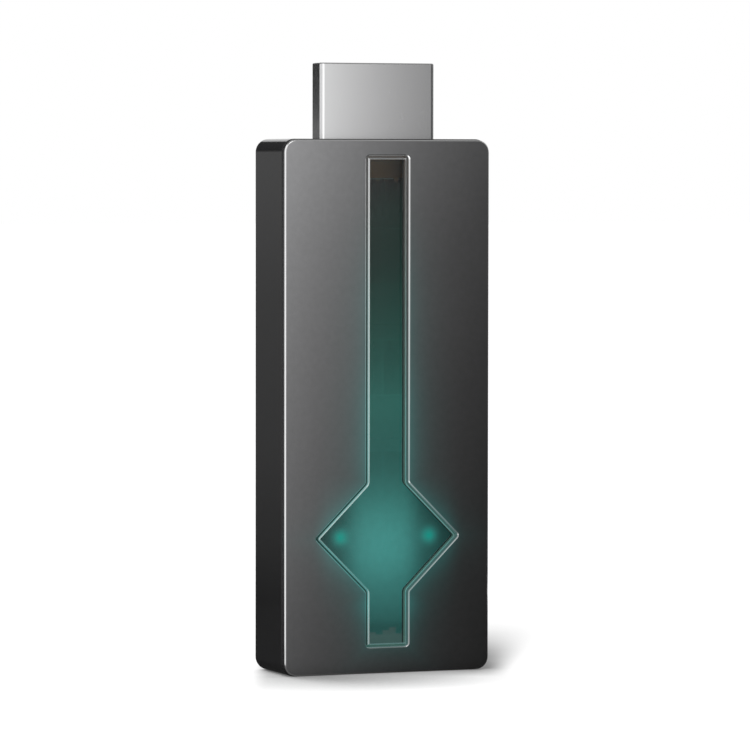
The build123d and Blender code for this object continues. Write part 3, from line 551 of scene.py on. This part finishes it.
def circuit_board():
    """Solder mask over copper: traces in two directions, vias with bright rings round holes painted near-black
    as shade, and a fine weave.
    """
    tree = Nodes("board_mask")
    x, _, z = tree.split()
    region = tree.noise(6.0, detail=0)

    def traces(along, across, pitch, width):
        bend = tree.math("MULTIPLY", tree.noise(5.0, detail=0), 1.4 * MM)
        wave = tree.math("PINGPONG", tree.math("ADD", across, bend), pitch * MM)
        line = tree.math("LESS_THAN", wave, width * MM / 2)
        cut = tree.noise(3.5, detail=0, stretch=(0.25, 1, 1) if along else (1, 1, 0.25))
        return tree.math("MULTIPLY", line, tree.math("GREATER_THAN", cut, 0.52))

    upright = tree.math("MULTIPLY", traces(False, x, 0.34, 0.16), tree.math("GREATER_THAN", region, 0.47))
    level = tree.math("MULTIPLY", traces(True, z, 0.42, 0.16), tree.math("LESS_THAN", region, 0.47))
    copper = tree.math("MAXIMUM", upright, level)
    spots = tree.cells(1.7)
    ring = tree.math("LESS_THAN", spots, 0.17)
    # The via's hole, painted near-black as shade
    painted_hole_shade = tree.math("LESS_THAN", spots, 0.08)
    mask = tree.blend(copper, rgba((0.010, 0.034, 0.024)), rgba((0.022, 0.078, 0.052)))
    colour = tree.blend(ring, mask, rgba((0.32, 0.27, 0.16)))
    colour = tree.blend(painted_hole_shade, colour, rgba((0.004, 0.006, 0.005)))
    weave = tree.noise(0.18, detail=2)
    height = tree.math("ADD", copper, tree.math("MULTIPLY", weave, 0.25))
    return tree.finish(
        tree.shader(colour, tree.from_noise(weave, 0.3, 0.42), normal=tree.bump(height, 0.03, 0.7))
    )


def chip_package(name, colour=(0.026, 0.026, 0.028)):
    """Moulded epoxy: a fine grain, and a colour that clouds a little."""
    tree = Nodes(name)
    grain = tree.noise(0.07, detail=3, roughness=0.7)
    cloud = tree.noise(1.8, detail=2)
    return tree.finish(
        tree.shader(
            around_colour(tree, cloud, colour, 0.15), tree.from_noise(grain, 0.42, 0.58),
            normal=tree.bump(grain, 0.004),
        )
    )


# ------------------------------------------------------------------------------ dressing the nodes

def soften(name, width):
    """Rounds a node's sharp edges by this many millimetres, with clean shading on its flats."""
    piece = nodes[name]
    for polygon in piece.data.polygons:
        polygon.use_smooth = True
    weld = piece.modifiers.new("weld", "WELD")
    weld.merge_threshold = WELD_WITHIN
    flat = piece.modifiers.new("flat", "DECIMATE")
    flat.decimate_type = "DISSOLVE"
    flat.angle_limit = FLAT_WITHIN
    round_off = piece.modifiers.new("round", "BEVEL")
    round_off.limit_method = "ANGLE"
    round_off.angle_limit = SHARP_FROM
    round_off.width = width * MM
    round_off.segments = 2
    round_off.use_clamp_overlap = True
    round_off.harden_normals = True
    weighted = piece.modifiers.new("weighted", "WEIGHTED_NORMAL")
    weighted.keep_sharp = False


def dress(name, slot, *materials):
    """Gives a node its materials. Its slot is not used."""
    piece = nodes[name]
    piece.data.materials.clear()
    for material in materials:
        piece.data.materials.append(material)


def assign(name, chosen):
    """Gives each face of a node the number of its material, by a rule on the face."""
    for polygon in nodes[name].data.polygons:
        polygon.material_index = chosen(polygon)


def solids(mesh):
    """The faces of each solid in a mesh whose faces share places but not vertices."""
    owner = {}

    def root(key):
        while owner[key] != key:
            owner[key] = owner[owner[key]]
            key = owner[key]
        return key

    keys = [tuple(round(c * 1e6) for c in vertex.co) for vertex in mesh.vertices]
    for key in keys:
        owner[key] = key
    for polygon in mesh.polygons:
        first = root(keys[polygon.vertices[0]])
        for index in polygon.vertices[1:]:
            owner[root(keys[index])] = first
    groups = {}
    for polygon in mesh.polygons:
        groups.setdefault(root(keys[polygon.vertices[0]]), []).append(polygon)
    return groups.values()


def assign_ends(name, axis, chosen):
    """Numbers each face's material by where it lies, from 0 to 1, along its own solid."""
    mesh = nodes[name].data
    for faces in solids(mesh):
        places = [mesh.vertices[i].co[axis] for face in faces for i in face.vertices]
        low, high = min(places), max(places)
        for face in faces:
            face.material_index = chosen((face.center[axis] - low) / (high - low))


def is_bevel(face):
    """A face cut at a slant between the front and an edge."""
    return BEVEL_SLANT[0] < face.normal.y < BEVEL_SLANT[1]


def plate_finish(face):
    """0 for the blasted face, 1 for the rim's cut edge, 2 for the window's and 3 for the window's wall."""
    centre = face.center
    at_rim = abs(centre.x) > RIM_SIDE or centre.z < RIM_DEPTH or centre.z > plate_top - RIM_DEPTH
    if is_bevel(face):
        return 1 if at_rim else 2
    return 3 if abs(face.normal.y) < WALL_SLANT and not at_rim else 0


def lens_finish(face):
    """0 for the clear faces, 1 for the bevel, 2 for the walls and 3 for those that face right, which are
    painted lighter.
    """
    if is_bevel(face):
        return 1
    if abs(face.normal.y) > WALL_SLANT:
        return 0
    return 2 if face.normal.x < 0.1 else 3


def cap_or_body(share):
    """The tinned ends, a quarter of the length each, and the ceramic between them."""
    return 0 if 0.25 < share < 0.75 else 1


dress("front_plate", "plate", plate_face(), polished_edge(), window_edge(), window_wall())
assign("front_plate", plate_finish)

dress("rear_housing", "housing", gloss_plastic("housing_gloss", (0.018, 0.018, 0.0185)))
dress("mode_button", "button", gloss_plastic("button_gloss", (0.02, 0.02, 0.021), 0.14))
dress("front_frame", "inner_moulding", moulded_plastic("inner_moulding_satin", (0.014, 0.014, 0.015), 0.45))
tape = grained("tape_black", (0.018,) * 3, 0.2, (0.5, 0.68), 0.006, 0.15, detail=2, stretch=(1, 1, 0.4))
dress("plate_adhesive", "tape", tape)
dress("lens_tape", "tape", lens_film())
# The walls that face right get a lighter grey, as painted light
walls = [lens_wall("lens_wall_frosted", 0.07), lens_wall("lens_wall_painted_light", 0.30)]
dress("window_lens", "lens", smoked_lens(), lens_bevel(), *walls)
assign("window_lens", lens_finish)
dress("light_guide", "guide", light_guide())
lamp_material = lamp_chip()
for name in ("lamp_left", "lamp_right"):
    dress(name, "lamp", lamp_material)

dress("video_plug_shell", "plug_steel", sheet_metal("plug_nickel", (0.62, 0.62, 0.625), 0.24))
dress("video_plug_insulator", "connector_core", moulded_plastic("core_black", (0.017, 0.017, 0.018), 0.42))
dress("power_port_tongue", "connector_core", moulded_plastic("port_core_black", (0.02, 0.02, 0.021), 0.42))
gold = sheet_metal("contact_gold", (0.83, 0.60, 0.26), 0.22, grain=0.03)
for name in ("video_plug_contacts_front", "video_plug_contacts_rear", "power_port_contacts"):
    dress(name, "gold", gold)
clip_face = sheet_metal("clip_bronze", (0.66, 0.28, 0.09), 0.42, stretch=(0.05, 1, 1))
# The clip's cut edges are painted near-black: painted shade in place of their metal
painted_clip_edge = moulded_plastic("clip_edge_painted_dark", (0.012, 0.010, 0.009), 0.6)
dress("plug_ground_clip", "bronze", clip_face, painted_clip_edge)
assign("plug_ground_clip", lambda face: 1 if abs(face.normal.y) < 0.5 else 0)

board = circuit_board()
dress("main_board", "board", board)
dress("radio_module", "board", board)
dress("board_screws", "screw_steel", sheet_metal("screw_zinc", (0.5, 0.5, 0.5), 0.33, stretch=(1, 1, 1)))
chip = chip_package("chip_epoxy")
for name in ("memory_chip", "flash_chip", "power_regulator"):
    dress(name, "chip", chip)
dress("processor", "chip", chip, chip_package("chip_substrate", (0.02, 0.07, 0.045)))
assign_ends("processor", 1, lambda share: 1 if share < 0.35 else 0)
pad = grained("pad_silicone", (0.30, 0.36, 0.42), 0.1, (0.6, 0.75), 0.02, 0.6, detail=4)
dress("thermal_pad", "pad", pad)
dress("heat_spreader", "spreader", sheet_metal("spreader_rolled", (0.58, 0.58, 0.58), 0.32))
can = sheet_metal("can_tinned", (0.55, 0.55, 0.56), 0.3, stretch=(0.06, 1, 1))
for name in ("radio_shield", "clock_crystal", "power_port_shell", "switch_cover"):
    dress(name, "can_steel", can)
dress("chip_antenna", "antenna", moulded_plastic("antenna_ceramic", (0.68, 0.68, 0.65), 0.4, grain=0.07))
powder = {"size": 0.12, "detail": 4, "roughness": 0.7}
ferrite = grained("ferrite_pressed", (0.07, 0.07, 0.072), 0.25, (0.5, 0.7), 0.012, **powder)
dress("power_inductors", "ferrite", ferrite)
switch = moulded_plastic("switch_black", (0.026, 0.026, 0.027), 0.48)
dress("switch_body", "switch_moulding", switch)
dress("switch_plunger", "switch_moulding", switch)
caps = grained("tinned_ends", (0.66, 0.66, 0.64), 0.08, (0.28, 0.45), 0.006, 0.1, metallic=1.0, detail=3)
for name, slot, colour, long_axis in (
    ("ceramic_capacitors", "capacitor", (0.40, 0.29, 0.19), 2),
    ("chip_resistors", "resistor", (0.03, 0.03, 0.034), 0),
):
    dress(name, slot, grained(slot + "_ceramic", colour, 0.14, (0.32, 0.5), 0.004, 0.06, detail=3), caps)
    assign_ends(name, long_axis, cap_or_body)

for name, width in (
    ("rear_housing", 0.05), ("front_plate", 0.02), ("window_lens", 0.02), ("video_plug_shell", 0.03),
    ("power_port_shell", 0.03), ("mode_button", 0.03),
):
    soften(name, width)


# ------------------------------------------------------------------------------ studio

def on_circle(azimuth, radius, height):
    """A place round the object. Azimuth 0 is in front of the plate and 90 is to the right."""
    turn = math.radians(azimuth)
    return Vector((math.sin(turn) * radius, -math.cos(turn) * radius, height))


def direction(azimuth, elevation):
    up = math.radians(elevation)
    flat = on_circle(azimuth, 1, 0)
    return Vector((flat.x * math.cos(up), flat.y * math.cos(up), math.sin(up)))


def card(name, vertices, faces, build):
    """A card that only reflections see, with its brightness from build(tree)."""
    mesh = bpy.data.meshes.new(name)
    mesh.from_pydata([Vector(vertex) * MM for vertex in vertices], [], faces)
    piece = bpy.data.objects.new(name, mesh)
    bpy.context.scene.collection.objects.link(piece)
    tree = Nodes(name)
    mesh.materials.append(tree.finish(tree.add("ShaderNodeEmission", {"Strength": build(tree)}).outputs[0]))
    piece.visible_camera = piece.visible_diffuse = piece.visible_shadow = False


def curved_card(name, azimuths, heights, radius, build):
    steps = 12
    vertices = []
    for i in range(steps + 1):
        azimuth = azimuths[0] + (azimuths[1] - azimuths[0]) * i / steps
        vertices += [on_circle(azimuth, radius, height) for height in heights]
    faces = [(2 * i, 2 * i + 2, 2 * i + 3, 2 * i + 1) for i in range(steps)]
    card(name, vertices, faces, build)


def upright_card(name, x_range, z_range, y, build):
    card(name, [(x, y, z) for z in z_range for x in x_range], [(0, 1, 3, 2)], build)


def level_card(name, x_range, y_range, z, build):
    card(name, [(x, y, z) for y in y_range for x in x_range], [(0, 1, 3, 2)], build)


def front_gradient(tree):
    """Bright at the upper left and dark at the lower right, as the plate shows it."""
    x, _, z = tree.split()
    from_left = tree.math("ADD", x, CARD_FALL_SHIFT)
    rate = tree.linear(z, 57 * MM, 63 * MM, -CARD_FALL_ACROSS / MM, -CARD_FALL_AT_PLUG / MM)
    across = tree.math("EXPONENT", tree.math("MULTIPLY", from_left, rate))
    down = tree.ramp(tree.linear(z, 0, CARD_TOP), [
        (0.0, 0.16), (0.05, 0.215), (0.106, 0.252), (0.175, 0.303), (0.319, 0.386), (0.3875, 0.446),
        (0.459, 0.486), (0.53, 0.558), (0.60, 0.645), (0.671, 0.79), (0.745, 1.04), (1.0, 1.03),
    ])
    level = tree.math("MULTIPLY", tree.math("MULTIPLY", across, CARD_LEVEL), down)
    brightest = tree.linear(x, -34 * MM, -25 * MM, 0.85, 1.9)
    return tree.math("MINIMUM", level, brightest)


def floor_gradient(tree):
    """Carries the front card on over the floor, and darkens under the object."""
    y = tree.split()[1]
    return tree.math("MULTIPLY", front_gradient(tree), tree.linear(y, -14 * MM, -6 * MM, 1.0, 0.25))


def rear_left_gradient(tree):
    """What the left side reflects: brighter up to its top edge, and dark above it."""
    return tree.ramp(tree.linear(tree.split()[2], 0, CARD_TOP), [
        (0.0, 0.015), (0.05, 0.04), (0.1, 0.07), (0.25, 0.13), (0.5, 0.18), (0.748, 0.31), (0.77, 0.14),
        (0.85, 0.035), (1.0, 0.03),
    ])


def right_gradient(tree):
    """A soft band of light down the middle of the right side."""
    y, z = tree.split()[1:]
    rise, fall = tree.smooth(y, -60 * MM, -5 * MM), tree.smooth(y, -5 * MM, 55 * MM, 1.0, 0.0)
    height = tree.linear(z, 10 * MM, 150 * MM, 0.12, 0.6)
    return tree.math("MULTIPLY_ADD", tree.math("MULTIPLY", rise, fall), height, 0.08)


upright_card("card_front", (-45, 95), (0.1, 150), FRONT_CARD_Y, front_gradient)
level_card("card_floor_front", (-45, 95), (FRONT_CARD_Y, CARD_JOIN_Y), CARD_LIFT, floor_gradient)
level_card("card_floor_rear", (-100, 100), (CARD_JOIN_Y, 120), CARD_LIFT, lambda tree: 0.03)
level_card("card_top", (-120, 120), (-120, 120), 170, lambda tree: 0.32)
curved_card("card_left", (-95, -47), (0, 200), 120, lambda tree: 1.05)
curved_card("card_rear_left", (-178, -125), (0, 160), 90, rear_left_gradient)
curved_card("card_right", (62, 140), (0, 160), 120, right_gradient)


def sun(name, azimuth, elevation, angle, strength):
    """A lamp that no reflection shows."""
    lamp = bpy.data.lights.new(name, "SUN")
    lamp.energy = strength
    lamp.angle = math.radians(angle)
    holder = bpy.data.objects.new(name, lamp)
    holder.rotation_euler = direction(azimuth, elevation).to_track_quat("Z", "Y").to_euler()
    holder.visible_glossy = False
    holder.visible_transmission = False
    bpy.context.scene.collection.objects.link(holder)


sun("key", -38, 38, 30, KEY_SUN)
sun("rear", -130, 60, 50, REAR_SUN)


def white_to_eyes(tree, seen, unseen):
    """One level for rays that see the background, and another for rays that light the object."""
    path = tree.add("ShaderNodeLightPath").outputs
    sees = tree.math("ADD", path["Is Camera Ray"], path["Is Glossy Ray"], clamp=True)
    sees = tree.math("ADD", sees, path["Is Transmission Ray"], clamp=True)
    return tree.linear(sees, 0, 1, unseen, seen)


world = bpy.data.worlds.new("studio")
bpy.context.scene.world = world
sky = Nodes("studio", world)
light = {"Color": (1, 1, 1, 1), "Strength": white_to_eyes(sky, 1.0, WORLD_LIGHT)}
sky.finish(sky.add("ShaderNodeBackground", light).outputs[0])


def turned(tree, angle):
    """Where a place on the floor lies across and along a direction turned by this angle."""
    x, y, _ = tree.split()
    sine, cosine = math.sin(angle), math.cos(angle)
    across = tree.math("SUBTRACT", tree.math("MULTIPLY", x, cosine), tree.math("MULTIPLY", y, sine))
    along = tree.math("ADD", tree.math("MULTIPLY", x, sine), tree.math("MULTIPLY", y, cosine))
    return across, along


def foot_shade(tree):
    """Painted shade: dark where the object hides the low sky to the rear right, less so towards the right."""
    towards = tree.add("ShaderNodeCombineXYZ", enumerate(direction(*FOOT_SKY))).outputs[0]
    inputs = {"Distance": FOOT_REACH, "Normal": towards}
    openness = tree.add("ShaderNodeAmbientOcclusion", inputs, samples=20).outputs["AO"]
    x = tree.split()[0]
    fully_open = tree.linear(x, -12 * MM, 12 * MM, 0.97, 0.85)
    darkest = tree.linear(x, -8 * MM, 8 * MM, 0.13, 0.46)
    shade = tree.linear(openness, 0.50, fully_open, darkest, 1.0)
    across, _ = turned(tree, FOOT_TURN)
    return tree.linear(tree.smooth(across, *FOOT_FADE), 0, 1, 1.0, shade)


def cast_shade(tree):
    """A painted soft shadow, which blurs and fades with the distance from the object."""
    across, along = turned(tree, CAST_TURN)
    across = tree.math("ABSOLUTE", tree.math("SUBTRACT", across, CAST_SHIFT))
    blur = tree.linear(along, 0, 60 * MM, *CAST_BLUR)
    inner, outer = (tree.math(sign, CAST_HALF_WIDTH, blur) for sign in ("SUBTRACT", "ADD"))
    band = tree.smooth(across, inner, outer, 1.0, 0.0)
    depth = tree.ramp(tree.linear(along, *CAST_RANGE), [
        (0.0, 0.0), (0.13, 0.76), (0.32, 0.79), (0.43, 0.69), (0.6, 0.42), (0.79, 0.17), (1.0, 0.0),
    ])
    return tree.math("SUBTRACT", 1.0, tree.math("MULTIPLY", band, depth))


def white_floor(half_width):
    """A floor that is white wherever the object keeps no light from it, with a painted shade in its glow."""
    mesh = bpy.data.meshes.new("floor")
    corners = [(-1, -1), (1, -1), (1, 1), (-1, 1)]
    mesh.from_pydata([(x * half_width, y * half_width, 0) for x, y in corners], [], [(0, 1, 2, 3)])
    floor = bpy.data.objects.new("floor", mesh)
    bpy.context.scene.collection.objects.link(floor)
    tree = Nodes("floor_white")
    shade = tree.math("MULTIPLY", foot_shade(tree), cast_shade(tree))
    glow = tree.math("MULTIPLY", white_to_eyes(tree, FLOOR_GLOW, 0.0), shade)
    diffuse = tree.add("ShaderNodeBsdfDiffuse", {"Color": rgba((FLOOR_COLOUR,) * 3)}).outputs[0]
    emission = tree.add("ShaderNodeEmission", {"Strength": glow}).outputs[0]
    mesh.materials.append(tree.finish(tree.add("ShaderNodeAddShader", {0: diffuse, 1: emission}).outputs[0]))


white_floor(FLOOR_HALF_WIDTH)


# ------------------------------------------------------------------------------ camera and view

def place_camera():
    sin_a, cos_a = math.sin(CAMERA_AZIMUTH), math.cos(CAMERA_AZIMUTH)
    sin_p, cos_p = math.sin(CAMERA_PITCH), math.cos(CAMERA_PITCH)
    back = Vector((-sin_a * cos_p, -cos_a * cos_p, sin_p))
    data = bpy.data.cameras.new("camera")
    data.lens = CAMERA_LENS
    data.sensor_width = 36.0
    data.clip_start, data.clip_end = 0.01, 20.0
    camera = bpy.data.objects.new("camera", data)
    camera.location = CAMERA_AIM + back * CAMERA_DISTANCE
    turn = (-back).to_track_quat("-Z", "Y") @ Quaternion((0, 0, 1), CAMERA_ROLL)
    camera.rotation_euler = turn.to_euler()
    bpy.context.scene.collection.objects.link(camera)
    bpy.context.scene.camera = camera


place_camera()
bpy.context.scene.view_settings.view_transform = "Standard"
